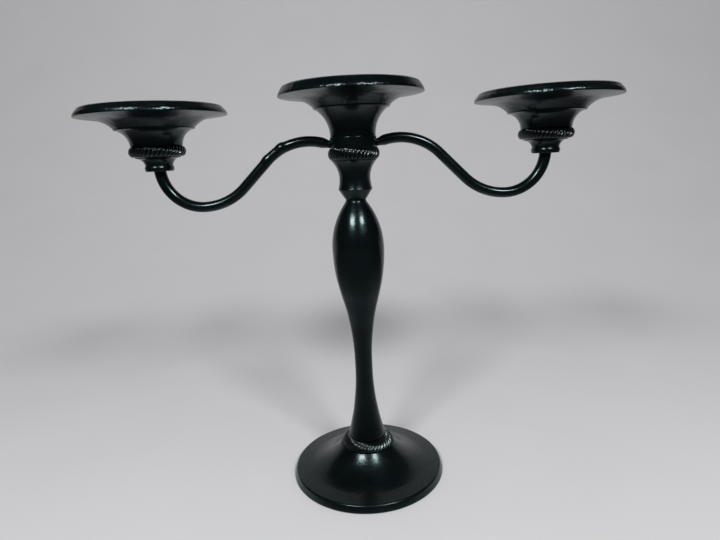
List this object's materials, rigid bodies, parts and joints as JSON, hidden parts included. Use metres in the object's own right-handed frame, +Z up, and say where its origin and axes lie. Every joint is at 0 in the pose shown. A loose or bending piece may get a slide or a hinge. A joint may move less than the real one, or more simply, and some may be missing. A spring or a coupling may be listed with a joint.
{
  "type": "candelabra",
  "caption": "Table candelabra with a round foot, a turned baluster stem, rope-twist rings, bent arms and round candle pans with taper sockets, painted glossy black.",
  "frame": {"origin": "on the table, under the middle of the foot", "axes": "+Z up the stem, +X along the arms towards the right light, +Y to the back"},
  "size_m": [0.3694, 0.1172, 0.2901],
  "materials": {
    "black_paint": "cast aluminium under glossy black paint with a faint green cast, worn a little at the rims",
    "plated_steel": "bright zinc-plated steel"
  },
  "bodies": {
    "stand": {"foot": "black_paint", "foot_rope_ring": "black_paint", "stem": "black_paint", "tie_rod": "plated_steel", "foot_washer": "plated_steel", "foot_nut": "plated_steel", "head_washer": "plated_steel", "head_nut": "plated_steel"},
    "head": {"capital": "black_paint", "hub_rope_ring": "black_paint", "arm_hub": "black_paint", "centre_cup": "black_paint", "centre_pan": "black_paint", "left_arm": "black_paint", "right_arm": "black_paint", "left_arm_washer": "plated_steel", "left_arm_nut": "plated_steel", "right_arm_washer": "plated_steel", "right_arm_nut": "plated_steel"},
    "left_light": {"left_collar": "black_paint", "left_rope_ring": "black_paint", "left_cup": "black_paint", "left_pan": "black_paint"},
    "right_light": {"right_collar": "black_paint", "right_rope_ring": "black_paint", "right_cup": "black_paint", "right_pan": "black_paint"}
  },
  "joints": [
    {"name": "head_turn", "type": "hinge", "parent": "stand", "child": "head", "pos_m": [0, 0, 0.2125], "axis": [0, 0, 1], "continuous": true},
    {"name": "left_light_turn", "type": "hinge", "parent": "head", "child": "left_light", "pos_m": [-0.1354, 0, 0.2402], "axis": [0, 0, 1], "continuous": true},
    {"name": "right_light_turn", "type": "hinge", "parent": "head", "child": "right_light", "pos_m": [0.1354, 0, 0.2402], "axis": [0, 0, 1], "continuous": true}
  ]
}
